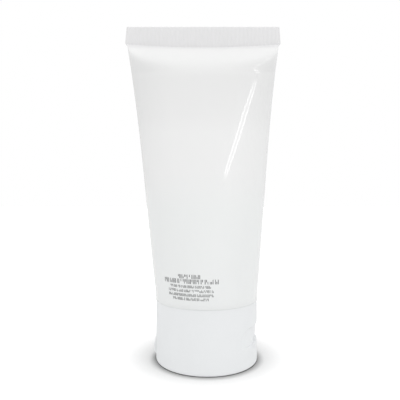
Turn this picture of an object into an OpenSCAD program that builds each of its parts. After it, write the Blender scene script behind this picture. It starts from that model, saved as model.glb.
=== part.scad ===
// Squeeze tube that stands on its flip-top cap, for a thick lotion.
// The sleeve is a round tube, pressed flat and sealed at the top. A moulded head in
// its round end carries the screwed cap, whose lid is the foot that the tube stands on.
// The origin is the middle of the lid's flat face. The seal runs along X, and -Y is the front.

/* [Sleeve] */
// Outside diameter of the sleeve at its round end
tube_d = 35.3; // [32:0.1:40]
// Wall of the sleeve
tube_wall = 0.5; // [0.3:0.05:0.7]
// Length of the sleeve, from its round end to the cut edge of the seal
tube_l = 94.8; // [75:0.2:130]
// Length of the straight round stretch that grips the head
grip_l = 2.2; // [1.5:0.1:5]
// Slope of the sides where they leave the round stretch, in degrees
flare_start = 6; // [4:0.5:8]
// Slope of the sides where they meet the seal, in degrees
flare_end = 9; // [6:0.5:12]
// Sideways lean of the pressed end
lean = 1.25; // [0:0.05:3]

/* [End seal] */
// Height of the seal at the middle of its width
seal_h = 7.2; // [5:0.1:10]
// Thickness of the seal over its ribs
seal_t = 1.3; // [1.1:0.05:1.6]
// Rise of the seal's lower edge from the middle to the ends
seal_bow = 1.1; // [0.4:0.1:2]
// Loss of width on each side between the seal's lower edge and its cut edge
seal_trim = 0.5; // [0:0.1:1.5]
// Overhang of the seal past the sleeve on each side
seal_ear = 0.8; // [0.4:0.1:1.5]
// Distance from one rib to the next
rib_pitch = 1.4; // [1:0.1:2.5]
// Height of each rib
rib_h = 0.15; // [0.1:0.05:0.25]
// Height of the sloping facets under the seal
facet_h = 9; // [6:0.5:14]

/* [Head] */
// Wall of the shoulder and the neck
head_wall = 1.2; // [0.9:0.1:1.5]
// Height of the head's rim inside the sleeve
rim_h = 2; // [1:0.1:4]
// Slope of the shoulder, in degrees
shoulder_slope = 12; // [6:1:16]
// Outside diameter of the neck
neck_d = 16.4; // [14:0.2:20]
// Diameter of the outlet in the end of the neck
neck_outlet_d = 4.7; // [4.3:0.1:6]

/* [Cap] */
// Step from the sleeve's surface in to the cap's and the lid's
cap_step = 0.15; // [0.05:0.05:0.6]
// Height of the closed cap, with its lid
cap_h = 20.8; // [18:0.1:26]
// Height of the lid
lid_h = 7.2; // [6.6:0.1:9]
// Wall of the skirt and of the lid's side
cap_wall = 1.2; // [1:0.1:1.5]
// Thickness of the deck across the cap
deck_t = 1.2; // [0.9:0.1:1.6]
// Height of the deck above the lid
deck_rise = 1.05; // [0.7:0.05:2]
// Wall of the threaded collar and of the ring that centres the lid
collar_wall = 1.1; // [0.8:0.1:1.4]
// Depth of the centring ring inside the lid
ring_h = 1.5; // [1:0.1:2.2]
// Clear height between the collar and the shoulder
collar_clear = 1.2; // [0.6:0.1:2]
// Number of ribs between the collar and the skirt
cap_ribs = 8; // [4:1:12]
// Thickness of each of those ribs
cap_rib_t = 0.9; // [0.6:0.1:1.4]
// Height of each of those ribs
cap_rib_h = 4; // [2:0.5:6]
// Thickness of the lid's flat face
lid_t = 1.3; // [1:0.1:1.8]
// Radius of the lid's bottom edge
lid_edge_r = 0.7; // [0.3:0.1:1.1]
// Direction of the thumb recess, in degrees from +X
cap_turn = -10; // [-180:5:180]

/* [Nozzle] */
// Diameter of the bore of the nozzle
nozzle_d = 3.5; // [2.5:0.1:4]
// Wall of the nozzle at its mouth
nozzle_wall = 1.3; // [0.8:0.1:2]
// Depth of the nozzle inside the lid
nozzle_h = 1.4; // [1:0.1:2]
// Wall of the spigot that seals in the neck
spigot_wall = 0.45; // [0.3:0.05:0.5]
// Height of that spigot
spigot_h = 1.6; // [1:0.1:2.5]
// Depth of the lid's plug in the nozzle
plug_in = 2.1; // [1.2:0.1:2.4]
// Wall of the hollow plug
plug_wall = 0.6; // [0.4:0.05:0.7]

/* [Thumb recess] */
// Half of the angle that the shallow recess spans, in degrees
recess_half = 38; // [25:1:45]
// Height of the shallow recess above the lid
recess_h = 6; // [4.5:0.1:8]
// Depth of the shallow recess
recess_in = 0.45; // [0.2:0.05:0.6]
// Radius of the recess's upper corners
recess_corner = 3.4; // [1:0.1:4]
// Depth of the thumb scoop at the lid
scoop_in = 1.2; // [0.8:0.05:1.4]
// Height of the scoop above the lid
scoop_up = 3.8; // [2.5:0.1:4.2]
// Depth of the scoop down the lid's side
scoop_down = 2; // [1.2:0.1:3]
// Extra thickness of the skirt behind the recess
backing_t = 0.8; // [0.5:0.1:1.2]

/* [Hinge] */
// Width of the hinge along the rim
hinge_w = 12; // [8:0.5:16]
// Thickness of the hinge strap
strap_t = 0.3; // [0.2:0.05:0.4]
// Height of the strap on the skirt
strap_up = 1.1; // [0.8:0.1:2]
// Distance that the lid's hinge pad stands out
pad_out = 0.75; // [0.5:0.05:0.9]
// Height of the pad's slope under the strap
pad_slope = 1.6; // [1.4:0.1:2.2]
// Height of the pad's flat face
pad_face = 2.4; // [1:0.1:3]

/* [Contents] */
// Height of the empty space under the seal
headspace = 26; // [10:0.5:40]

/* [Fits] */
// Seam between the sleeve and the cap
sleeve_seam = 0.05; // [0.05:0.05:0.5]
// Seam between the lid and the skirt
lid_seam = 0.05; // [0.05:0.05:0.3]
// Clearance of the weld between the head and the sleeve
weld_fit = 0.1; // [0.05:0.01:0.15]
// Clearance of the thread between the neck and the collar
thread_fit = 0.1; // [0.05:0.01:0.15]
// Clearance of the centring ring in the lid
ring_fit = 0.15; // [0.1:0.01:0.25]
// Clearance of the spigot in the neck, and of the plug in the nozzle
plug_fit = 0.15; // [0.1:0.01:0.2]
// Clearance between the neck's end and the deck
neck_fit = 0.1; // [0.05:0.01:0.2]
// Clearance between the contents and the walls around them
fill_fit = 0.3; // [0.25:0.05:0.6]

/* [Hidden] */
eps = 0.01;
$fn = 96;
white_sleeve = [0.93, 0.94, 0.93];
white_cap = [0.92, 0.93, 0.94];
cream = [0.96, 0.94, 0.86];

tube_r = tube_d / 2;
sleeve_z = cap_h + sleeve_seam;
top_z = sleeve_z + tube_l;
seal_z = top_z - seal_h;
flare_z = sleeve_z + grip_l;
flare_l = seal_z - flare_z;
// A tube pressed flat keeps its girth, measured on the middle of its wall
seal_half = PI * (tube_d - tube_wall) / 4;
side_half = seal_half - seal_ear;
web_half = seal_t / 2 - rib_h;
ring_points = 60;
// The facet and the round body meet in a crease, softer with a lower power
crease = 8;

cap_r = tube_r - cap_step;
seam_z = lid_h + lid_seam;
deck_z = seam_z + deck_rise;
deck_top = deck_z + deck_t;
lid_bore_r = cap_r - cap_wall;
ring_r = lid_bore_r - ring_fit;
neck_r = neck_d / 2;
neck_z = deck_top + neck_fit;
collar_r = neck_r + thread_fit;
rim_r = (tube_r - tube_wall) * cos(180 / ring_points) - weld_fit;
land_r = lid_bore_r - 0.5;
shoulder_drop = (land_r - neck_r) * tan(shoulder_slope);
collar_top = sleeve_z - (land_r - collar_r - collar_wall) * tan(shoulder_slope) - collar_clear;
nozzle_r = nozzle_d / 2;
nozzle_z = seam_z - nozzle_h;
pad_top = seam_z - lid_seam - 0.1;
hinge_half = asin(hinge_w / 2 / cap_r);

// Cubic from a to b with slopes ma and mb per unit of t
function cubic(a, b, ma, mb, t) =
    (2 * t * t * t - 3 * t * t + 1) * a + (t * t * t - 2 * t * t + t) * ma
    + (3 * t * t - 2 * t * t * t) * b + (t * t * t - t * t) * mb;

function flare_at(z) = max(0, (z - flare_z) / flare_l);

// Half width of the sleeve at height z, its longer half axis
function half_width(z) =
    cubic(tube_r, side_half, flare_l * tan(flare_start), flare_l * tan(flare_end), flare_at(z));

// Half depth of an ellipse with half width w and the girth of the round tube
function half_depth(w, d = tube_d) =
    (6 * d - 8 * w + sqrt(pow(6 * d - 8 * w, 2) - 24 * (6 * w * w - 6 * d * w + d * d))) / 12;

facet_slope = (half_depth(half_width(seal_z - facet_h)) - web_half) / facet_h;

// Half depth of the sloping facet at x and z, for a surface that lies inset inside
function facet_depth(x, z, inset) =
    max(0.1, web_half + facet_slope * (seal_z + seal_bow * pow(x / side_half, 2) - z)
        - inset * sqrt(1 + pow(facet_slope, 2)));

// The smaller of two depths, rounded where they are alike
function soft_min(a, b) = a * b / pow(pow(a, crease) + pow(b, crease), 1 / crease);

// Outline of the sleeve at height z, moved in by inset
function section(z, inset) = [
    for (i = [0 : ring_points - 1])
        let (
            turn = 360 * i / ring_points,
            x = (half_width(z) - inset) * cos(turn),
            round_y = (half_depth(half_width(z)) - inset) * abs(sin(turn)),
            y = soft_min(round_y, facet_depth(x, z, inset))
        )
        [x - lean * flare_at(z), sign(sin(turn)) * y, z]
];

// Round outline of radius r at height z
function round_section(r, z) = [
    for (i = [0 : ring_points - 1])
        [r * cos(360 * i / ring_points), r * sin(360 * i / ring_points), z]
];

// Heights from low to high in n even steps
function steps(low, high, n) = [for (i = [0 : n]) low + (high - low) * i / n];

// Heights of the wall's sections: even steps up the body, then finer ones over the facets
function levels(low, high) = let (bend = seal_z - facet_h - 3)
    concat([for (z = steps(low, bend, 10)) if (z < bend - eps) z], steps(bend, high, 8));

// Faces that join one outline to the next, from section index a to index b
function skin(a, b, out) = [
    for (i = [0 : ring_points - 1])
        let (
            j = (i + 1) % ring_points,
            quad = [a * ring_points + i, a * ring_points + j,
                    b * ring_points + j, b * ring_points + i]
        )
        each out
            ? [[quad[0], quad[2], quad[1]], [quad[0], quad[3], quad[2]]]
            : [[quad[0], quad[1], quad[2]], [quad[0], quad[2], quad[3]]]
];

// Face that closes an outline, seen from above or from below
function lid_face(k, up) = [
    [for (i = [0 : ring_points - 1]) k * ring_points + (up ? ring_points - 1 - i : i)]
];

// Closed solid through a list of outlines
module loft(outlines) {
    last = len(outlines) - 1;
    polyhedron(
        points = [for (o = outlines) each o],
        faces = concat(
            lid_face(0, false),
            [for (k = [0 : last - 1]) each skin(k, k + 1, true)],
            lid_face(last, true)
        )
    );
}

// Closed wall between outer outlines and inner ones, open at the first pair
module loft_shell(outer, inner) {
    n = len(outer);
    last = n + len(inner) - 1;
    polyhedron(
        points = [for (o = concat(outer, inner)) each o],
        faces = concat(
            [for (k = [0 : n - 2]) each skin(k, k + 1, true)],
            lid_face(n - 1, true),
            skin(0, n, false),
            [for (k = [n : last - 1]) each skin(k, k + 1, false)],
            lid_face(last, false)
        )
    );
}

// Wall of the sleeve up to the seal. The cavity ends where its facets would meet
module sleeve_wall() {
    cavity_top = seal_z - (tube_wall * sqrt(1 + pow(facet_slope, 2)) + 0.15 - web_half) / facet_slope;
    loft_shell(
        [for (z = levels(sleeve_z, seal_z + seal_bow + 0.2)) section(z, 0)],
        [for (z = levels(sleeve_z, cavity_top)) section(z, tube_wall)]
    );
}

// Outline of the ribbed seal from above
module rib_outline() {
    count = floor(2 * seal_half / rib_pitch);
    first = -rib_pitch * count / 2;
    ridge = [
        for (i = [0 : count - 1])
            let (x = first + rib_pitch * i)
            each [[x, web_half], [x + rib_pitch * 0.25, seal_t / 2],
                  [x + rib_pitch * 0.55, seal_t / 2], [x + rib_pitch * 0.8, web_half]]
    ];
    polygon(concat(
        [[-seal_half - 1, web_half]],
        ridge,
        [[seal_half + 1, web_half], [seal_half + 1, -web_half]],
        [for (i = [len(ridge) - 1 : -1 : 0]) [ridge[i][0], -ridge[i][1]]],
        [[-seal_half - 1, -web_half]]
    ));
}

// Front outline of the seal, with its bowed lower edge
module seal_outline() {
    bow_r = (pow(side_half, 2) + pow(seal_bow, 2)) / (2 * seal_bow);
    low = seal_z - 0.35;
    intersection() {
        polygon([
            [-seal_half, low - eps], [seal_half, low - eps],
            [seal_half, seal_z + seal_bow], [seal_half - seal_trim, top_z],
            [-seal_half + seal_trim, top_z], [-seal_half, seal_z + seal_bow]
        ]);
        translate([0, low + bow_r]) circle(r = bow_r, $fn = 720);
    }
}

module end_seal() {
    translate([-lean, 0, 0]) intersection() {
        translate([0, 0, seal_z - 1]) linear_extrude(seal_h + 2) rib_outline();
        translate([0, seal_t, 0]) rotate([90, 0, 0]) linear_extrude(2 * seal_t) seal_outline();
    }
}

module sleeve() {
    color(white_sleeve) union() {
        sleeve_wall();
        end_seal();
    }
}

module tube_head() {
    color(white_sleeve) rotate_extrude() polygon([
        [neck_outlet_d / 2, neck_z],
        [neck_r, neck_z],
        [neck_r, sleeve_z - shoulder_drop],
        [land_r, sleeve_z],
        [rim_r, sleeve_z],
        [rim_r, sleeve_z + rim_h],
        [rim_r - head_wall, sleeve_z + rim_h],
        [land_r, sleeve_z + head_wall],
        [neck_r - head_wall, sleeve_z + head_wall - (land_r - neck_r + head_wall) * tan(shoulder_slope)],
        [neck_r - head_wall, neck_z + head_wall],
        [neck_outlet_d / 2, neck_z + head_wall]
    ]);
}

// Radial profile of the cap from the nozzle's bore out to the skirt
module cap_profile() {
    polygon([
        [nozzle_r, nozzle_z],
        [nozzle_r + nozzle_wall, nozzle_z],
        [nozzle_r + nozzle_wall + 0.4, deck_z],
        [ring_r - collar_wall, deck_z],
        [ring_r - collar_wall, seam_z - ring_h],
        [ring_r - 0.2, seam_z - ring_h],
        [ring_r, seam_z - ring_h + 0.4],
        [ring_r, seam_z],
        [cap_r, seam_z],
        [cap_r, cap_h],
        [cap_r - cap_wall, cap_h],
        [cap_r - cap_wall, deck_top],
        [collar_r + collar_wall, deck_top],
        [collar_r + collar_wall, collar_top],
        [collar_r, collar_top],
        [collar_r, deck_top],
        [nozzle_r + spigot_wall, deck_top],
        [nozzle_r + spigot_wall, deck_top + spigot_h],
        [nozzle_r, deck_top + spigot_h]
    ]);
}

// Shallow recess: what lies outside a wider circle that is set back from the rim.
// It runs out at recess_half on each side, just inside the cutter's edges
module shallow_recess() {
    back = recess_in / (1 - cos(recess_half));
    half = cap_r * sin(recess_half) + 0.6;
    top = seam_z + recess_h;
    difference() {
        translate([cap_r * 0.5, 0, 0]) rotate([90, 0, 90]) linear_extrude(cap_r) {
            translate([-half, seam_z - 1]) square([2 * half, recess_h + 1 - recess_corner]);
            translate([-half + recess_corner, seam_z]) square([2 * (half - recess_corner), recess_h]);
            for (side = [-1, 1])
                translate([side * (half - recess_corner), top - recess_corner]) circle(r = recess_corner);
        }
        translate([-back, 0, 0]) cylinder(r = cap_r - recess_in + back, h = cap_h);
    }
}

// Thumb scoop: a round cutter that lies along the seam and reaches scoop_in into the wall
module scoop(reach) {
    r = (pow(reach, 2) + pow(scoop_in, 2)) / (2 * scoop_in);
    translate([cap_r - scoop_in + r, cap_r, seam_z]) rotate([90, 0, 0]) cylinder(r = r, h = 2 * cap_r);
}

module cap_body() {
    color(white_cap) rotate([0, 0, cap_turn]) union() {
        difference() {
            union() {
                rotate_extrude() cap_profile();
                // Backing inside the skirt, so that the recess keeps its wall
                rotate([0, 0, -recess_half]) rotate_extrude(angle = 2 * recess_half)
                    translate([lid_bore_r - backing_t, deck_top - eps])
                        square([backing_t + eps, seam_z + recess_h + backing_t - deck_top]);
            }
            shallow_recess();
            scoop(scoop_up);
            // Rebate for the hinge strap
            rotate([0, 0, 180 - hinge_half]) rotate_extrude(angle = 2 * hinge_half)
                translate([cap_r - strap_t, seam_z - 1]) square([2, strap_up + 1]);
        }
        // Ribs that keep the skirt round
        for (i = [0 : cap_ribs - 1])
            rotate([0, 0, 360 * (i + 0.5) / cap_ribs])
                translate([collar_r + collar_wall - 0.2, -cap_rib_t / 2, deck_top - eps])
                    cube([lid_bore_r - collar_r - collar_wall + 0.4, cap_rib_t, cap_rib_h]);
    }
}

// Radial profile of the lid: a shallow cup with a rounded bottom edge
module lid_profile() {
    difference() {
        union() {
            square([cap_r - lid_edge_r, lid_h]);
            translate([0, lid_edge_r]) square([cap_r, lid_h - lid_edge_r]);
            translate([cap_r - lid_edge_r, lid_edge_r]) circle(r = lid_edge_r);
        }
        translate([-eps, lid_t]) square([lid_bore_r + eps, lid_h]);
        translate([-1, -1]) square([1, lid_h + 2]);
    }
}

// Tapered hollow plug that closes the nozzle
module plug() {
    r = nozzle_r - plug_fit;
    tip_z = nozzle_z + plug_in;
    rotate_extrude() polygon([
        [r - plug_wall, lid_t - eps],
        [r + 0.3, lid_t - eps],
        [r, nozzle_z - 0.2],
        [r, nozzle_z],
        [r - 0.3, tip_z],
        [r - plug_wall, tip_z]
    ]);
}

// Pad on the lid's side that carries the strap and slopes back under it
module hinge_pad() {
    rotate([0, 0, 180 - hinge_half]) rotate_extrude(angle = 2 * hinge_half) polygon([
        [cap_r - 0.5, pad_top],
        [cap_r + strap_t, pad_top],
        [cap_r + pad_out, pad_top - pad_slope],
        [cap_r + pad_out, pad_top - pad_slope - pad_face],
        [cap_r, lid_edge_r + 0.5],
        [cap_r - 0.5, lid_edge_r + 0.5]
    ]);
}

module lid() {
    color(white_cap) rotate([0, 0, cap_turn]) union() {
        difference() {
            rotate_extrude() lid_profile();
            scoop(scoop_down);
        }
        plug();
        hinge_pad();
    }
}

// Thin strap that bends when the lid opens, from the skirt's rebate to the lid's pad
module hinge_strap() {
    color(white_cap) rotate([0, 0, cap_turn + 180 - hinge_half])
        rotate_extrude(angle = 2 * hinge_half) polygon([
            [cap_r - strap_t, seam_z + strap_up],
            [cap_r - strap_t, seam_z],
            [cap_r, lid_h],
            [cap_r, pad_top],
            [cap_r + strap_t, pad_top],
            [cap_r + strap_t, seam_z - lid_seam / 2],
            [cap_r, seam_z + strap_up / 2],
            [cap_r, seam_z + strap_up]
        ]);
}

// The contents fill the neck, the shoulder and the sleeve, and leave the head space
module lotion() {
    neck_fill = neck_r - head_wall - fill_fit;
    rim_fill = rim_r - head_wall - fill_fit;
    low = sleeve_z + max(rim_h, head_wall) + fill_fit;
    shoulder_z = sleeve_z + head_wall + fill_fit * 1.5;
    color(cream) loft(concat(
        [round_section(neck_fill, neck_z + head_wall + fill_fit)],
        [round_section(neck_fill, shoulder_z - (land_r - neck_fill) * tan(shoulder_slope))],
        [round_section(rim_fill - 0.4, shoulder_z)],
        [round_section(rim_fill, low)],
        [for (z = steps(low + 0.5, seal_z - headspace, 12)) section(z, tube_wall + fill_fit)]
    ));
}

sleeve();
tube_head();
cap_body();
lid();
hinge_strap();
lotion();
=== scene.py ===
import math

import bmesh
import bpy
import numpy as np
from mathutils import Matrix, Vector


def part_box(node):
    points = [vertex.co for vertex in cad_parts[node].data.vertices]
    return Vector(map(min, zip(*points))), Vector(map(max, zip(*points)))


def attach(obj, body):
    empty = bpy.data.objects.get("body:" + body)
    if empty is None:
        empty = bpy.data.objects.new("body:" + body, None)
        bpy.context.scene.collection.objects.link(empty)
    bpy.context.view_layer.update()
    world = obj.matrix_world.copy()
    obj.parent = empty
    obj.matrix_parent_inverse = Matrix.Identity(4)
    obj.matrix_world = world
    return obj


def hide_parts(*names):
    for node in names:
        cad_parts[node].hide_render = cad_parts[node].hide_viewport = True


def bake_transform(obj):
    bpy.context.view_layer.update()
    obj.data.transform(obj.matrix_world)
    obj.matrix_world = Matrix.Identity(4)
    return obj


# %% [markdown]
# # Squeeze tube on its flip-top cap
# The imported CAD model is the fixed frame. This script lays a finer, softer skin over the
# nodes that show, gives every piece its plastic, and sets up the studio and the camera.
# Lengths inside the shape functions are in millimetres, as in the CAD source.

# %% Load the frame and keep its box
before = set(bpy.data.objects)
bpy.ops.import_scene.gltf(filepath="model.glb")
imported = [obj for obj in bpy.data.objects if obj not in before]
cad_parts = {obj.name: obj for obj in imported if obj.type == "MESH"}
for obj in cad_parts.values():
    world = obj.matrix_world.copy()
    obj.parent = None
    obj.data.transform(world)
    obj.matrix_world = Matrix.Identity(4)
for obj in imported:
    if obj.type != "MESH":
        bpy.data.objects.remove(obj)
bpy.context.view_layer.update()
print("nodes:", sorted(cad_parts))

# %% [markdown]
# ## Measures
# The boxes of the nodes give the sizes that the skins have to meet. The small sizes below
# are the named values of the CAD source.

# %% Sizes from the CAD boxes
MM = 0.001


def box_mm(node):
    """Lowest and highest corner of a CAD node, in millimetres."""
    low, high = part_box(node)
    return np.array(low) / MM, np.array(high) / MM


sleeve_low, sleeve_high = box_mm("sleeve")
cap_low, cap_high = box_mm("cap_body")
tube_r = sleeve_high[1]
sleeve_z = sleeve_low[2]
top_z = sleeve_high[2]
seal_half = (sleeve_high[0] - sleeve_low[0]) / 2
lean = -(sleeve_high[0] + sleeve_low[0]) / 2
cap_r = cap_high[1]
cap_top = cap_high[2]
print("tube radius", round(tube_r, 3), "seal half width", round(seal_half, 3), "lean", round(lean, 3))
print("cap radius", round(cap_r, 3), "cap top", round(cap_top, 3), "sleeve from", round(sleeve_z, 3))

# %% Small sizes of the sleeve, in mm
tube_wall = 0.5
seal_z = top_z - 7.2
seal_t = 1.3
rib_h = 0.15
rib_pitch = 1.4
seal_bow = 1.1
seal_trim = 0.5
seal_ear = 0.8
facet_h = 9.0
crease = 8
grip_l = 2.2
flare_start = math.radians(6)
flare_end = math.radians(9)
web_half = seal_t / 2 - rib_h
side_half = seal_half - seal_ear
flare_z = sleeve_z + grip_l
flare_l = seal_z - flare_z

# %% Small sizes of the cap and the lid, in mm
lid_h = 7.2
nozzle_z = cap_low[2]
seam_z = nozzle_z + 1.4
deck_z = seam_z + 1.05
deck_top = deck_z + 1.2
cap_wall = 1.2
lid_bore_r = cap_r - cap_wall
ring_r = lid_bore_r - 0.15
collar_r = 8.3
collar_top = sleeve_z - 2.56
nozzle_r = 1.75
cap_turn = math.radians(-10)
hinge_half = math.asin(6 / cap_r)
strap_t = 0.3
strap_up = 1.1
pad_top = 7.1
scoop_reach = 3.8
scoop_deep = 1.2
ledge_reach = 2.0
recess_half = math.radians(38)
recess_high = 6.0
recess_corner = 3.4
backing = 0.8
backing_half = math.radians(36)
backing_top = 13.85

# %% [markdown]
# These sizes set the look. They differ from the source's, or have no name there: the ribs
# are lower, the section under the seal is squarer, the sleeve's end is closer to the cap,
# the recess is deeper and the lid's ledge is shallower.

# %% Sizes for the look, in mm
rib_rise = 0.07
square_from = 10.5
square_l = 9.0
square_more = 1.4
seam_close = 0.03
side_round = 0.45
recess_deep = 0.6
ledge_deep = 0.4

# %% [markdown]
# ## Mesh helpers
# Every skin is a grid of points. Its columns run once round the piece. Its rows either
# come back to the first row, or end in a line or a point that is welded shut.

# %% Objects and grids


def add_object(name, data):
    """New object in the scene's own collection."""
    obj = bpy.data.objects.new(name, data)
    bpy.context.scene.collection.objects.link(obj)
    return obj


def signed_volume(points, quads):
    """Sum over the faces of the volume between each face and the origin. It is negative
    where the faces look inwards."""
    a, b, c, d = (points[quads[:, k]] for k in range(4))
    first = np.einsum("ij,ij->i", a, np.cross(b, c))
    second = np.einsum("ij,ij->i", a, np.cross(c, d))
    return (first.sum() + second.sum()) / 6


def grid_quads(rows, columns, ring):
    """Corner numbers of the quads of a grid whose columns wrap round, and its rows too
    where ring is true."""
    i = np.arange(rows if ring else rows - 1)[:, None]
    j = np.arange(columns)[None, :]
    k = (j + 1) % columns
    up = (i + 1) % rows
    quads = np.stack([i * columns + j, i * columns + k, up * columns + k, up * columns + j], axis=-1)
    return quads.reshape(-1, 4)


def make_mesh(name, points, faces):
    """New object from points in mm and a list of faces, welded and shaded smooth."""
    mesh = bpy.data.meshes.new(name)
    mesh.from_pydata((points * MM).tolist(), [], faces)
    work = bmesh.new()
    work.from_mesh(mesh)
    bmesh.ops.remove_doubles(work, verts=work.verts, dist=1e-7)
    bmesh.ops.dissolve_degenerate(work, edges=work.edges, dist=1e-8)
    open_edges = sum(1 for e in work.edges if len(e.link_faces) != 2)
    work.to_mesh(mesh)
    work.free()
    mesh.polygons.foreach_set("use_smooth", np.ones(len(mesh.polygons), bool))
    print(name, "faces", len(mesh.polygons), "open edges", open_edges)
    return add_object(name, mesh)


def skin_object(name, points, ring=False, caps=False):
    """Object from a grid of points (rows, columns, 3). With caps, the first and last rows
    are closed by one flat face each."""
    rows, columns = points.shape[:2]
    flat = points.reshape(-1, 3)
    quads = grid_quads(rows, columns, ring)
    inward = signed_volume(flat, quads) < 0
    if inward:
        quads = quads[:, ::-1]
    faces = quads.tolist()
    if caps:
        first = list(range(columns))
        last = [(rows - 1) * columns + c for c in range(columns)]
        faces += [first if inward else first[::-1], last[::-1] if inward else last]
    return make_mesh(name, flat, faces)


# %% [markdown]
# Profiles are drawn as corners with a radius each, and then cut into short steps, so that
# the turned pieces stay smooth where the recess bends them.

# %% Curves and paths


def smooth(t):
    """0 below 0, 1 above 1, and an even S between them."""
    t = np.clip(t, 0, 1)
    return t * t * (3 - 2 * t)


def rounded_path(corners, closed, turns=5):
    """Path through corners (x, y, radius), with an arc of that radius at each corner."""
    out = []
    n = len(corners)
    for i, (x, y, r) in enumerate(corners):
        p = np.array([x, y], float)
        if r <= 0 or (not closed and i in (0, n - 1)):
            out.append(p[None])
            continue
        a = np.array(corners[i - 1][:2], float) - p
        b = np.array(corners[(i + 1) % n][:2], float) - p
        la, lb = np.linalg.norm(a), np.linalg.norm(b)
        a, b = a / la, b / lb
        half = math.acos(max(-1, min(1, float(a @ b)))) / 2
        back = min(r / math.tan(half), 0.48 * la, 0.48 * lb)
        mid = (a + b) / np.linalg.norm(a + b)
        radius = back * math.tan(half)
        centre = p + mid * radius / math.sin(half)
        start, end = p + a * back - centre, p + b * back - centre
        angle = np.linspace(0, 1, turns + 1)[:, None] * (math.pi - 2 * half)
        side = np.sign(start[0] * end[1] - start[1] * end[0])
        cos, sin = np.cos(angle), np.sin(angle) * side
        out.append(centre + np.hstack([start[0] * cos - start[1] * sin, start[0] * sin + start[1] * cos]))
    return np.vstack(out)


def refine(path, step, closed, rim_step=None):
    """The same path with more points, so that no two are further apart than step, or than
    rim_step along the outer wall, whose radius is cap_r."""
    ends = np.vstack([path[1:], path[:1]]) if closed else path[1:]
    pieces = []
    for a, b in zip(path, ends):
        on_rim = rim_step and min(a[0], b[0]) > cap_r - 0.1
        n = max(1, math.ceil(np.linalg.norm(b - a) / (rim_step if on_rim else step)))
        pieces.append(a + (b - a) * (np.arange(n) / n)[:, None])
    if not closed:
        pieces.append(path[-1:])
    return np.vstack(pieces)


# %% [markdown]
# ## Sleeve
# The sleeve is a round plastic tube, pressed flat and sealed at the top. Its girth can't
# change, so each section is an ellipse with the girth of the round tube, and the sealed
# end is half that girth wide. Two flat facets lead from the body to the seal.

# %% Sleeve formulas


def cubic(a, b, ma, mb, t):
    """Curve from a to b, with slopes ma and mb at its ends."""
    return (
        (2 * t**3 - 3 * t**2 + 1) * a
        + (t**3 - 2 * t**2 + t) * ma
        + (3 * t**2 - 2 * t**3) * b
        + (t**3 - t**2) * mb
    )


def flare(z):
    """0 at the round stretch and 1 at the seal."""
    return np.clip((z - flare_z) / flare_l, 0, 1)


def half_width(z):
    """Half of the sleeve's width at height z."""
    start = flare_l * math.tan(flare_start)
    end = flare_l * math.tan(flare_end)
    return cubic(tube_r, side_half, start, end, flare(z))


def half_depth(w):
    """Half of the depth of an ellipse of half width w with the round tube's girth."""
    d = 2 * tube_r
    under = np.maximum((6 * d - 8 * w) ** 2 - 24 * (6 * w * w - 6 * d * w + d * d), 0)
    return (6 * d - 8 * w + np.sqrt(under)) / 12


facet_slope = float((half_depth(half_width(seal_z - facet_h)) - web_half) / facet_h)


def wall_depth(x, s, w, z, inset):
    """Half depth of the wall at x: the ellipse and the sloping facet, whichever is less,
    with a soft crease where they meet. s is x as a share of the half width w. Near the
    seal the ellipse squares up, (1 - s^p)^(1/p) with p from 2 to 3.4, so that the facet
    runs out to the corners."""
    p = 2 + square_more * smooth((z - seal_z + square_from) / square_l)
    round_share = np.maximum(1 - np.minimum(np.abs(s), 1) ** p, 0) ** (1 / p)
    ellipse = np.maximum((half_depth(half_width(z)) - inset) * round_share, 1e-6)
    edge = seal_z + seal_bow * (x / side_half) ** 2
    facet = web_half + facet_slope * (edge - z) - inset * math.sqrt(1 + facet_slope**2)
    facet = np.maximum(facet, 0.1)
    return ellipse * facet / (ellipse**crease + facet**crease) ** (1 / crease)


def rib_relief(x):
    """Relief of the pressed ribs across the seal: 1 on a ridge and 0 in a groove."""
    phase = np.mod(x / rib_pitch, 1)
    return smooth(phase / 0.28) * (1 - smooth((phase - 0.52) / 0.28))


# %% [markdown]
# Each row of the sleeve runs along the front from +X to -X and back along the rear. The
# columns gather at the sides, where the wall turns fastest, and even out towards the seal.

# %% Sleeve rows


def column_shares(count):
    """Positions along the front half, from 0 to 1, closer together at both sides."""
    t = np.arange(count) / count
    return t - 0.6 * np.sin(2 * np.pi * t) / (2 * np.pi)


front_shares = np.concatenate([column_shares(360), [1.0]])
s_round, s_even = np.cos(np.pi * front_shares), 1 - 2 * front_shares


def loop(x, y, z):
    """Front half along -Y, then the back half along +Y."""
    px = np.concatenate([x, x[-2:0:-1]])
    py = np.concatenate([-y, y[-2:0:-1]])
    pz = np.concatenate([z, z[-2:0:-1]])
    return np.stack([px - lean * flare(pz), py, pz], axis=-1)


def ear_width(end_z):
    """How far the seal's ears stand out past the side of the sleeve at height end_z."""
    return seal_ear * smooth((end_z - seal_z - seal_bow + 0.9) / 1.6)


def wall_row(z, inset, bow=0.0, even=0.0):
    """Row of the wall at height z, inset mm inside the surface. bow lifts its ends as the
    seal's lower edge does, and even spaces its columns evenly, both from 0 to 1."""
    s = (1 - even) * s_round + even * s_even
    w = half_width(min(z, seal_z)) + ear_width(z + bow * seal_bow) - inset
    x = w * s
    here = z + bow * seal_bow * (x / side_half) ** 2
    return loop(x, wall_depth(x, s, w, here, inset), here)


def seal_row(share):
    """Row of the ribbed seal, at that share of the way from its lower edge to the cut."""
    w = side_half + ear_width(seal_z + seal_bow + share * (top_z - seal_z - seal_bow)) - seal_trim * share
    x = w * s_even
    edge = seal_z + seal_bow * np.minimum(1, np.abs(x / side_half)) ** 2
    rise = rib_rise * smooth(share / 0.06) * rib_relief(x)
    past = np.maximum(np.abs(x) - w + side_round, 0) / side_round
    y = (web_half + rise) * np.sqrt(np.clip(1 - past**2, 0, 1))
    return loop(x, y * (1 - 0.12 * smooth((share - 0.96) / 0.04)), edge + share * (top_z - edge))


# %% Sleeve grid


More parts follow.
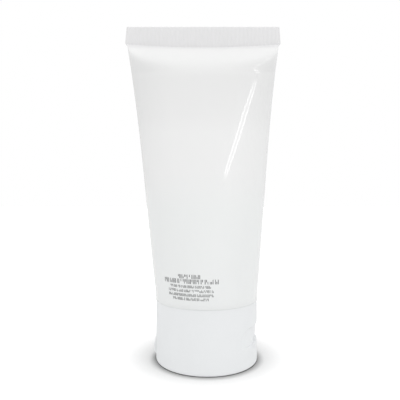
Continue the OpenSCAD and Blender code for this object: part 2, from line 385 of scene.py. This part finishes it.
def sleeve_points():
    """Rows of the sleeve: down the inside, round the open end, up the outside over the
    facets, up the ribbed seal, and shut along the cut edge."""
    cavity_top = seal_z - (tube_wall * math.sqrt(1 + facet_slope**2) + 0.15 - web_half) / facet_slope
    low_z = sleeve_z - seam_close
    inner = np.linspace(cavity_top, low_z, 24)
    shut = wall_row(inner[0], tube_wall)
    shut[:, 1] = 0
    rows = [shut]
    rows += [wall_row(level, tube_wall) for level in inner]
    rows += [wall_row(low_z + rise, inset) for inset, rise in ((0.3, 0.0), (0.06, 0.0), (0.018, 0.018))]
    fine_z = seal_z - facet_h - 16
    body = np.concatenate([[low_z + 0.06], np.linspace(sleeve_z + 2, fine_z, 28)])
    upper = np.linspace(fine_z, seal_z, 52)[1:]
    bow_l, even_z = 14, 70
    for level in np.concatenate([body, upper]):
        bow = float(smooth((level - (seal_z - bow_l)) / bow_l))
        even = float(smooth((level - even_z) / (seal_z - even_z)))
        rows.append(wall_row(level, 0.0, bow, even))
    for share in (0.01, 0.04, 0.08, 0.2, 0.35, 0.5, 0.65, 0.8, 0.92, 0.97, 0.99, 1.0):
        rows.append(seal_row(share))
    cut = rows[-1].copy()
    cut[:, 1] = 0
    rows.append(cut)
    return np.stack(rows)


sleeve = skin_object("sleeve_skin", sleeve_points())
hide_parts("sleeve")
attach(sleeve, "tube")

# %% [markdown]
# ## Cap
# The cap and the lid are turned profiles. Where the rim isn't round, the radius is moved:
# in for the thumb recess, the scoop and the strap's rebate, out for the hinge pad. The
# local angle is measured from the middle of the recess.

# %% Cap formulas


def scoop_depth(angle, z, reach, deep):
    """Depth of a round scoop that lies along the seam, in from the rim."""
    r = (reach**2 + deep**2) / (2 * deep)
    off = np.clip(np.abs(z - seam_z), 0, r)
    face = cap_r - deep + r - np.sqrt(r * r - off * off)
    depth = cap_r - face / np.maximum(np.cos(angle), 0.05)
    return np.where((np.abs(angle) < 1.2) & (off < reach), np.maximum(depth, 0), 0)


def recess_depth(angle, z):
    """Depth of the shallow thumb recess: a wider circle set back from the rim, inside a
    window with two round upper corners."""
    back = recess_deep / (1 - math.cos(recess_half))
    ring = cap_r - recess_deep + back
    reach = -back * np.cos(angle) + np.sqrt(ring**2 - (back * np.sin(angle)) ** 2)
    half = cap_r * math.sin(recess_half) + 0.6
    y = np.abs(cap_r * np.sin(angle)) - (half - recess_corner)
    up = z - (seam_z + recess_high - recess_corner)
    out = np.hypot(np.maximum(y, 0), np.maximum(up, 0)) + np.minimum(np.maximum(y, up), 0) - recess_corner
    inside = 1 - smooth((out + 0.1) / 0.14)
    return np.where(np.abs(angle) < 1.2, np.maximum(cap_r - reach, 0) * inside, 0)


def pad_rise(z):
    """How far the lid's hinge pad stands out at height z."""
    high = [0, 2.1, 3.2, 5.5, 7.1, 7.6]
    rise = [0, 0, 0.75, 0.75, strap_t, strap_t]
    return np.interp(z, high, rise)


# %% [markdown]
# The columns of a turned piece are closer together across the thumb recess.

# %% Turned grid
recess_columns = np.linspace(-42, 42, 150, endpoint=False)
other_columns = np.linspace(42, 318, 210, endpoint=False)
rim_columns = np.radians(np.concatenate([recess_columns, other_columns]))


def turned(path, change):
    """Grid of a path (radius, height) turned round the axis. change(radius, z, angle)
    gives the new radius, and angle is measured from the middle of the thumb recess."""
    angle = rim_columns
    r, z = path[:, :1], path[:, 1:]
    away = np.abs((angle + np.pi) % (2 * np.pi) - np.pi)[None, :]
    radius = change(r, z, away)
    turn = angle[None, :] + cap_turn
    z = np.broadcast_to(z, radius.shape)
    return np.stack([radius * np.cos(turn), radius * np.sin(turn), z], axis=-1)


# %% [markdown]
# The cap's profile starts at the mouth of the nozzle and goes out under the deck, round
# the ring that centres the lid, up the skirt, back down its inside, and over the collar and
# the spigot.

# %% Cap body
spigot_r = nozzle_r + 0.45
cap_corners = [
    (nozzle_r, nozzle_z, 0.15), (nozzle_r + 1.3, nozzle_z, 0.25), (nozzle_r + 1.7, deck_z, 0.4),
    (ring_r - 1.1, deck_z, 0.3), (ring_r - 1.1, seam_z - 1.5, 0.15), (ring_r - 0.2, seam_z - 1.5, 0.1),
    (ring_r, seam_z - 1.1, 0.1), (ring_r, seam_z, 0.03), (cap_r, seam_z, 0.04), (cap_r, cap_top, 0.08),
    (lid_bore_r, cap_top, 0.15), (lid_bore_r, deck_top, 0.3), (collar_r + 1.1, deck_top, 0.3),
    (collar_r + 1.1, collar_top, 0.15), (collar_r, collar_top, 0.15), (collar_r, deck_top, 0.15),
    (spigot_r, deck_top, 0.15), (spigot_r, deck_top + 1.6, 0.1), (nozzle_r, deck_top + 1.6, 0.1),
]


def cap_radius(r, z, away):
    """The skirt moves in at the recess, the scoop and the strap's rebate, and its inside
    is thicker behind the recess."""
    depth = np.maximum(recess_depth(away, z), scoop_depth(away, z, scoop_reach, scoop_deep))
    side = smooth((cap_r * (away - (np.pi - hinge_half)) + 0.05) / 0.1)
    rebate = (strap_t + 0.02) * side * (1 - smooth((z - seam_z - strap_up) / 0.1))
    rim = np.minimum(r, cap_r - np.maximum(depth, rebate))
    behind = backing * (1 - smooth((away - backing_half) / math.radians(2)))
    behind = behind * (1 - smooth((z - backing_top) / 0.2)) * smooth((z - deck_top) / 0.2)
    inner = (np.abs(r - lid_bore_r) < 0.02) & (z > deck_top)
    return np.where(inner, rim - behind, rim)


cap_path = refine(rounded_path(cap_corners, True), 0.9, True, 0.22)
cap = skin_object("cap_skin", turned(cap_path, cap_radius), ring=True)
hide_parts("cap_body")
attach(cap, "cap")

# %% [markdown]
# Upright webs stand on the deck and stiffen the skirt against the collar.

# %% Ribs inside the cap
web_count, web_t, web_h = 8, 0.9, 4.0
web_angle = cap_turn + 2 * np.pi * (np.arange(web_count) + 0.5) / web_count
web_out = np.array([collar_r + 0.9, lid_bore_r + 0.2])
web_side = np.array([-web_t / 2, web_t / 2])
web_high = np.array([deck_top - 0.01, deck_top + web_h])
local = np.stack(np.meshgrid(web_out, web_side, web_high, indexing="ij"), axis=-1).reshape(-1, 3)
cos, sin = np.cos(web_angle)[:, None], np.sin(web_angle)[:, None]
web_x = local[:, 0] * cos - local[:, 1] * sin
web_y = local[:, 0] * sin + local[:, 1] * cos
web_points = np.stack([web_x, web_y, local[:, 2] + 0 * cos], axis=-1)
box_faces = np.array([[0, 1, 3, 2], [4, 6, 7, 5], [0, 4, 5, 1], [2, 3, 7, 6], [0, 2, 6, 4], [1, 5, 7, 3]])
web_faces = (box_faces[None] + 8 * np.arange(web_count)[:, None, None]).reshape(-1, 4)
cap_ribs = make_mesh("cap_ribs", web_points.reshape(-1, 3), web_faces.tolist())
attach(cap_ribs, "cap")

# %% [markdown]
# The lid is the foot of the tube. Its profile runs from the axis out under the flat face,
# up the side, down the inside, and over the hollow plug that closes the nozzle.

# %% Lid
plug_r = nozzle_r - 0.15
plug_top = nozzle_z + 2.1
face_t = 1.3
lid_corners = [
    (0, 0, 0), (cap_r, 0, 0.7), (cap_r, lid_h, 0.04), (lid_bore_r, lid_h, 0.1),
    (lid_bore_r, face_t, 0.4), (plug_r + 0.3, face_t, 0.3), (plug_r, nozzle_z - 0.2, 0.3),
    (plug_r, nozzle_z, 0.2), (plug_r - 0.3, plug_top, 0.1), (plug_r - 0.6, plug_top, 0.1),
    (plug_r - 0.6, face_t, 0.3), (0, face_t, 0),
]


def lid_radius(r, z, away):
    """The lid's side moves in at the scoop and out at the hinge pad."""
    rim = np.minimum(r, cap_r - scoop_depth(away, z, ledge_reach, ledge_deep))
    side = smooth((cap_r * (away - (np.pi - hinge_half)) + 0.02) / 0.16)
    on_side = smooth((r - cap_r + 0.5) / 0.3)
    return rim + pad_rise(z) * side * on_side * (z < pad_top + 0.05)


lid_path = refine(rounded_path(lid_corners, False, 8), 0.9, False, 0.18)
lid = skin_object("lid_skin", turned(lid_path, lid_radius))
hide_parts("lid")
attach(lid, "flip_lid")

# %% [markdown]
# The strap is a thin strip over the seam, between the cap and the lid.

# %% Hinge strap
strap_corners = [
    (cap_r - strap_t, seam_z + strap_up, 0.04), (cap_r - strap_t, seam_z, 0.02), (cap_r, lid_h, 0.02),
    (cap_r, pad_top, 0.02), (cap_r + strap_t, pad_top, 0.02), (cap_r + strap_t, seam_z - 0.025, 0.1),
    (cap_r, seam_z + strap_up / 2, 0.1), (cap_r, seam_z + strap_up, 0.03),
]
strap_path = refine(rounded_path(strap_corners, True, 3), 0.08, True)
across = cap_turn + math.pi + np.linspace(-hinge_half, hinge_half, 49)
strap_points = np.stack(
    [
        np.cos(across)[:, None] * strap_path[None, :, 0],
        np.sin(across)[:, None] * strap_path[None, :, 0],
        np.broadcast_to(strap_path[None, :, 1], (49, len(strap_path))),
    ],
    axis=-1,
)
strap = skin_object("hinge_strap_skin", strap_points, caps=True)
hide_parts("hinge_strap")
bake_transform(strap)

# %% [markdown]
# ## Print
# A small block of plain grey ticks stands where the tube is printed. They spell nothing.
# Each tick is a thin slab that follows the wall.

# %% Tick places
print_middle = -18.1


def print_rows():
    """Ticks as (angle from the front, half angle, middle height, half height). Each row
    is groups of upright ticks, with a wider gap between the groups."""
    rng = np.random.default_rng(7)
    rows = [
        (31.0, 0.62, 11.4, 16), (29.5, 0.70, 29.4, 38), (27.9, 0.42, 21.6, 40),
        (26.6, 0.42, 24.4, 46), (25.3, 0.42, 24.4, 46), (24.1, 0.42, 19.2, 34),
    ]
    out = []
    for z, high, reach, count in rows:
        wide = rng.uniform(0.8, 1.25, count)
        step = wide + np.where(rng.uniform(size=count) < 0.16, 3.2, 1.35)
        unit = 2 * reach / (step.sum() - step[-1] + wide[-1])
        left = -reach + unit * np.concatenate([[0], np.cumsum(step)[:-1]])
        part = rng.choice([1.0, 1.0, 0.55], count)
        lift = rng.choice([-1, 1], count) * (1 - part) * high
        half = wide * unit / 2
        out.append(np.stack([print_middle + left + half, half, z + lift, part * high], axis=-1))
    return np.vstack(out)


# %% Printed ticks
ticks = print_rows()
steps = np.linspace(-1, 1, 7)
turn = np.radians(ticks[:, :1] + ticks[:, 1:2] * steps[None, :])
corner_z = ticks[:, 2:3] + ticks[:, 3:4] * np.array([[-1, 1, 1, -1]])
corner_out = np.array([0.0, 0.0, 0.03, 0.03])
turn_grid = turn[:, :, None] + np.zeros((1, 1, 4))
z_grid = corner_z[:, None, :] + np.zeros((1, 7, 1))
width = half_width(z_grid) + corner_out
depth = half_depth(half_width(z_grid)) + corner_out
ink_points = np.stack(
    [width * np.sin(turn_grid) - lean * flare(z_grid), -depth * np.cos(turn_grid), z_grid], axis=-1
)
one = grid_quads(7, 4, False)
ends = np.array([[3, 2, 1, 0], [24, 25, 26, 27]])
one = np.vstack([one, ends])
if signed_volume(ink_points[0].reshape(-1, 3), one) < 0:
    one = one[:, ::-1]
ink_faces = (one[None] + 28 * np.arange(len(ticks))[:, None, None]).reshape(-1, 4)
ink = make_mesh("print_ticks", ink_points.reshape(-1, 3), ink_faces.tolist())
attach(ink, "tube")
print("ticks", len(ticks))

# %% [markdown]
# ## Materials
# The sleeve is extruded polyethylene, satin under a clear gloss that carries the sharp
# highlight. The cap is moulded polypropylene, a little duller and cooler. Fine grain is in
# the bump and in the roughness.

# %% Node helpers


def link(tree, a, out, b, to):
    """Joins one node's output to another's input."""
    tree.links.new(a.outputs[out], b.inputs[to])


def noise(tree, coords, scale, detail=2.0, stretch=(1, 1, 1)):
    """Noise texture on the object's own coordinates, scale in features per metre."""
    mapping = tree.nodes.new("ShaderNodeMapping")
    mapping.inputs["Scale"].default_value = stretch
    link(tree, coords, "Object", mapping, "Vector")
    node = tree.nodes.new("ShaderNodeTexNoise")
    node.inputs["Scale"].default_value = scale
    node.inputs["Detail"].default_value = detail
    link(tree, mapping, "Vector", node, "Vector")
    return node


def spread(tree, source, low, high):
    """Maps a noise value from 0.3..0.7 to low..high."""
    node = tree.nodes.new("ShaderNodeMapRange")
    node.inputs["From Min"].default_value = 0.3
    node.inputs["From Max"].default_value = 0.7
    node.inputs["To Min"].default_value = low
    node.inputs["To Max"].default_value = high
    link(tree, source, "Fac", node, "Value")
    return node


# %% Plastic
TONE_SPAN = 120


def paint_shade_by_height(tree, coords, colour, painted_shade_by_height):
    """Multiplies a colour by painted light and shade, given as pairs of (height in mm, colour) from the
    floor up.
    """
    height = tree.nodes.new("ShaderNodeSeparateXYZ")
    link(tree, coords, "Object", height, "Vector")
    scale = tree.nodes.new("ShaderNodeMapRange")
    scale.inputs["From Max"].default_value = TONE_SPAN * MM
    link(tree, height, "Z", scale, "Value")
    ramp = tree.nodes.new("ShaderNodeValToRGB")
    stops = ramp.color_ramp.elements
    for place, (z, tone) in enumerate(painted_shade_by_height):
        stop = stops[place] if place < 2 else stops.new(z / TONE_SPAN)
        stop.position = z / TONE_SPAN
        stop.color = (*tone, 1)
    link(tree, scale, "Result", ramp, "Fac")
    both = tree.nodes.new("ShaderNodeMix")
    both.data_type = "RGBA"
    both.blend_type = "MULTIPLY"
    both.inputs["Factor"].default_value = 1
    link(tree, colour, "Result", both, "A")
    link(tree, ramp, "Color", both, "B")
    return both


def bump(tree, source, distance):
    """Bump node that raises the surface by a noise, distance in metres."""
    node = tree.nodes.new("ShaderNodeBump")
    node.inputs["Strength"].default_value = 1.0
    node.inputs["Distance"].default_value = distance
    link(tree, source, "Fac", node, "Height")
    return node


def plastic(name, dark, light, rough, grain, wave, coat=0.0, subsurface=0.0, drawn=(1, 1, 1), painted_shade_by_height=()):
    """Pigmented plastic: base colour between dark and light in broad soft patches,
    roughness between two values in finer ones, grain as a fine bump and wave as a slow one.
    The last argument gives (height in mm, colour) pairs of painted light and shade that the base colour is
    multiplied by."""
    mat = bpy.data.materials.new(name)
    mat.use_nodes = True
    tree = mat.node_tree
    shader = tree.nodes["Principled BSDF"]
    coords = tree.nodes.new("ShaderNodeTexCoord")
    mix = tree.nodes.new("ShaderNodeMix")
    mix.data_type = "RGBA"
    mix.inputs["A"].default_value = (*dark, 1)
    mix.inputs["B"].default_value = (*light, 1)
    patches = noise(tree, coords, 60, 3, drawn)
    link(tree, spread(tree, patches, 0, 1), "Result", mix, "Factor")
    if painted_shade_by_height:
        mix = paint_shade_by_height(tree, coords, mix, painted_shade_by_height)
    link(tree, mix, "Result", shader, "Base Color")
    fine = noise(tree, coords, 900, 3, drawn)
    link(tree, spread(tree, fine, *rough), "Result", shader, "Roughness")
    first = bump(tree, noise(tree, coords, 90, 1, drawn), wave * MM)
    second = bump(tree, noise(tree, coords, 3500, 2), grain * MM)
    link(tree, first, "Normal", second, "Normal")
    link(tree, second, "Normal", shader, "Normal")
    shader.inputs["IOR"].default_value = 1.5
    shader.inputs["Coat Weight"].default_value = coat
    shader.inputs["Coat Roughness"].default_value = 0.03
    shader.inputs["Subsurface Weight"].default_value = subsurface
    shader.inputs["Subsurface Radius"].default_value = (0.0012, 0.0011, 0.001)
    return mat


# %% [markdown]
# The sleeve's colour is multiplied by painted light and shade that follow its height: a
# faint cool cast low down, painted as bounce from the cap, an even body, a darker band of
# painted shade under the facets, and the grey of the ribbed seal, part painted shade of its
# ribs and part the seal's own greyer plastic.

# %% Materials
# Painted light and shade by height: a faint cool cast low on the body painted as bounce from the cap,
# painted shade in the band under the facets, and the seal's grey, part painted shade of its ribs and part
# its own plastic.
sleeve_painted_shade = [
    (20, (0.985, 1.0, 1.0)), (52, (0.985, 1.0, 0.997)), (64, (1.0, 1.0, 1.0)), (77, (0.985, 0.985, 0.985)),
    (83, (0.945, 0.945, 0.945)), (96, (0.905, 0.905, 0.905)), (101, (0.935, 0.935, 0.935)),
    (107.5, (0.98, 0.98, 0.98)), (108.5, (0.915, 0.91, 0.92)), (116, (0.92, 0.915, 0.925)),
]
sleeve_mat = plastic(
    "sleeve_satin", (0.783, 0.786, 0.784), (0.799, 0.80, 0.798), (0.32, 0.38), 0.001, 0.02,
    coat=1.0, drawn=(1, 1, 0.35), painted_shade_by_height=sleeve_painted_shade,
)
cap_mat = plastic(
    "cap_polypropylene", (0.78, 0.794, 0.803), (0.796, 0.811, 0.82), (0.34, 0.4), 0.0006, 0.004,
)
head_mat = plastic("head_natural", (0.76, 0.77, 0.75), (0.8, 0.81, 0.79), (0.3, 0.4), 0.003, 0.01)
lotion_mat = plastic(
    "lotion_cream", (0.8, 0.77, 0.68), (0.84, 0.81, 0.72), (0.22, 0.3), 0.004, 0.2, subsurface=0.3,
)
ink_mat = plastic("print_grey", (0.055, 0.055, 0.06), (0.09, 0.09, 0.095), (0.4, 0.5), 0.001, 0.0)


# %% Dressing the pieces


def dress(obj, mat):
    """Gives obj this one material."""
    obj.data.materials.clear()
    obj.data.materials.append(mat)


dress(sleeve, sleeve_mat)
dress(cap, cap_mat)
dress(cap_ribs, cap_mat)
dress(lid, cap_mat)
dress(strap, cap_mat)
dress(ink, ink_mat)
dress(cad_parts["tube_head"], head_mat)
dress(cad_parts["lotion"], lotion_mat)
print("materials:", [m.name for m in bpy.data.materials])

# %% [markdown]
# ## Studio
# A white floor runs out to a white sky, which is also the soft light. A narrow ribbon
# draws the long highlight on the right of the sleeve.

# %% Studio helpers


def bare_material(name):
    """New material with an empty node tree, and that tree."""
    mat = bpy.data.materials.new(name)
    mat.use_nodes = True
    mat.node_tree.nodes.clear()
    return mat, mat.node_tree


def occlusion(tree, distance):
    """How open the floor is to the sky, looking that far, in metres."""
    node = tree.nodes.new("ShaderNodeAmbientOcclusion")
    node.samples = 16
    node.inputs["Distance"].default_value = distance
    return node


def product(tree, a, a_out, b, b_out):
    """Product of two outputs."""
    node = tree.nodes.new("ShaderNodeMath")
    node.operation = "MULTIPLY"
    tree.links.new(a.outputs[a_out], node.inputs[0])
    tree.links.new(b.outputs[b_out], node.inputs[1])
    return node


# %% [markdown]
# The floor is white to the camera but for its painted contact shadow: the colour the
# camera sees is darkened by two occlusion terms, a wide soft one times a narrow dark one.
# The wide one leans towards the camera, so it is thinner in front. Other rays see an even
# grey white.

# %% Floor
floor_mesh = bpy.data.meshes.new("floor")
floor_mesh.from_pydata([(-3, -3, 0), (3, -3, 0), (3, 3, 0), (-3, 3, 0)], [], [(0, 1, 2, 3)])
floor = add_object("floor", floor_mesh)
floor_mat, tree = bare_material("floor_white")
wide = occlusion(tree, 0.027)
facing = tree.nodes.new("ShaderNodeCombineXYZ")
facing.inputs["Y"].default_value = -0.12
facing.inputs["Z"].default_value = 0.993
link(tree, facing, "Vector", wide, "Normal")
close = occlusion(tree, 0.0028)
open_share = product(tree, wide, "AO", close, "AO")
dress(floor, floor_mat)

# %% Floor colour and its painted shadow
# Painted shadow: the colour the camera sees runs from black to a bright white with how open the floor is.
shadow_paint = tree.nodes.new("ShaderNodeMix")
shadow_paint.data_type = "RGBA"
shadow_paint.inputs["A"].default_value = (0, 0, 0, 1)
shadow_paint.inputs["B"].default_value = (1.17, 1.17, 1.17, 1)
link(tree, open_share, "Value", shadow_paint, "Factor")
seen = tree.nodes.new("ShaderNodeMix")
seen.data_type = "RGBA"
seen.inputs["A"].default_value = (0.8, 0.8, 0.8, 1)
link(tree, shadow_paint, "Result", seen, "B")
link(tree, tree.nodes.new("ShaderNodeLightPath"), "Is Camera Ray", seen, "Factor")
surface = tree.nodes.new("ShaderNodeBsdfDiffuse")
link(tree, seen, "Result", surface, "Color")
link(tree, surface, "BSDF", tree.nodes.new("ShaderNodeOutputMaterial"), "Surface")

# %% [markdown]
# The sky is plain white to the camera. As a light it is brighter overhead and in front,
# and a little dimmer on the left.

# %% Sky
world = bpy.data.worlds.new("sky")
bpy.context.scene.world = world
world.use_nodes = True
tree = world.node_tree
tree.nodes.clear()
way = tree.nodes.new("ShaderNodeTexCoord")
split = tree.nodes.new("ShaderNodeSeparateXYZ")
link(tree, way, "Generated", split, "Vector")


def graded(axis, start, low, high):
    """Value from low to high, while the sky's direction along axis goes from start to 1."""
    node = tree.nodes.new("ShaderNodeMapRange")
    node.inputs["From Min"].default_value = start
    node.inputs["To Min"].default_value = low
    node.inputs["To Max"].default_value = high
    link(tree, split, axis, node, "Value")
    return node


overhead = graded("Z", 0, 0.955, 1.4)
rightward = graded("X", -1, 0.9, 1.0)
rearward = graded("Y", -1, 1.13, 0.82)
level = product(tree, overhead, "Result", rightward, "Result")
strength = product(tree, level, "Value", rearward, "Result")

# %% Sky as light and as backdrop
light = tree.nodes.new("ShaderNodeBackground")
light.inputs["Color"].default_value = (1, 1, 1, 1)
link(tree, strength, "Value", light, "Strength")
backdrop = tree.nodes.new("ShaderNodeBackground")
backdrop.inputs["Color"].default_value = (1, 1, 1, 1)
backdrop.inputs["Strength"].default_value = 1.0
pick = tree.nodes.new("ShaderNodeMixShader")
link(tree, tree.nodes.new("ShaderNodeLightPath"), "Is Camera Ray", pick, "Fac")
tree.links.new(light.outputs["Background"], pick.inputs[1])
tree.links.new(backdrop.outputs["Background"], pick.inputs[2])
link(tree, pick, "Shader", tree.nodes.new("ShaderNodeOutputWorld"), "Surface")

# %% [markdown]
# The long highlight is the mirror image of a narrow ribbon of light. The ribbon is worked
# out backwards: each of its points is where the sleeve, as a mirror, shows the camera.

# %% Mirror formula
camera_place = np.array([-2.29, -149.5, 55.06])


def wall_point(s, z):
    """Point on the front of the sleeve, at s of its half width and at height z."""
    w = half_width(z)
    return np.stack([w * s - lean * flare(z), -wall_depth(w * s, s, w, z, 0.0), z], axis=-1)


def mirrored(s, z, away):
    """Where a mirror at that point of the wall shows the camera, away mm from the wall."""
    step = 1e-3
    across = wall_point(s + step, z) - wall_point(s - step, z)
    up = wall_point(s, z + step) - wall_point(s, z - step)
    normal = np.cross(across, up)
    normal /= np.linalg.norm(normal, axis=-1, keepdims=True)
    place = wall_point(s, z)
    ray = place - camera_place
    ray /= np.linalg.norm(ray, axis=-1, keepdims=True)
    return place + away * (ray - 2 * (ray * normal).sum(-1, keepdims=True) * normal)


# %% [markdown]
# The ribbon's middle line follows seven points of the wall, each a height and a share of
# the half width. Its two edges are brighter than its middle, and it fades at both ends.

# %% Ribbon of light
strip_rows, strip_columns = 41, 25
strip_away = 600.0
along = np.linspace(0, 1, strip_rows)[:, None]
over = np.linspace(-1, 1, strip_columns)[None, :]
stops = np.linspace(0, 1, 7)
strip_z = np.interp(along, stops, [59.9, 65.4, 71.8, 78.2, 85.8, 91.6, 97.4]) + 0 * over
strip_s = np.interp(along, stops, [0.258, 0.338, 0.430, 0.514, 0.606, 0.671, 0.729])
strip_half = 0.8 * np.sin(np.pi * np.clip(along, 0.02, 0.98)) ** 0.4
strip_points = mirrored(strip_s + over * strip_half / half_width(strip_z), strip_z, strip_away)
i, j = np.meshgrid(np.arange(strip_rows - 1), np.arange(strip_columns - 1), indexing="ij")
strip_starts = strip_columns * np.stack([i, i, i + 1, i + 1], axis=-1)
strip_quads = strip_starts + np.stack([j, j + 1, j + 1, j], axis=-1)
strip_mesh = bpy.data.meshes.new("strip_light")
strip_flat = strip_points.reshape(-1, 3) * MM
strip_mesh.from_pydata(strip_flat.tolist(), [], strip_quads.reshape(-1, 4).tolist())
strip = add_object("strip_light", strip_mesh)
strip.visible_camera = False
strip.visible_diffuse = False
print("strip from", strip_points[0, 12].round(), "to", strip_points[-1, 12].round())

# %% Glow of the ribbon
glow = strip_mesh.attributes.new("glow", "FLOAT", "POINT")
fade = smooth(along / 0.1) * smooth((1 - along) / 0.1)
power = (2.4 + 4.7 * smooth((np.abs(over) - 0.5) / 0.2)) * fade
glow.data.foreach_set("value", power.ravel().astype(np.float32))
strip_mat, tree = bare_material("strip_glow")
value = tree.nodes.new("ShaderNodeAttribute")
value.attribute_name = "glow"
emit = tree.nodes.new("ShaderNodeEmission")
link(tree, value, "Fac", emit, "Strength")
link(tree, emit, "Emission", tree.nodes.new("ShaderNodeOutputMaterial"), "Surface")
dress(strip, strip_mat)

# %% [markdown]
# The camera stands level, at the place and with the lens that fit the photograph.

# %% Camera
camera_data = bpy.data.cameras.new("camera")
camera_data.lens = 38.33
camera_data.sensor_width = 36
camera_data.clip_start = 0.005
camera = add_object("camera", camera_data)
camera.location = camera_place * MM
camera.rotation_euler = (math.pi / 2, 0, 0)
bpy.context.scene.camera = camera
bpy.context.scene.view_settings.view_transform = "Standard"
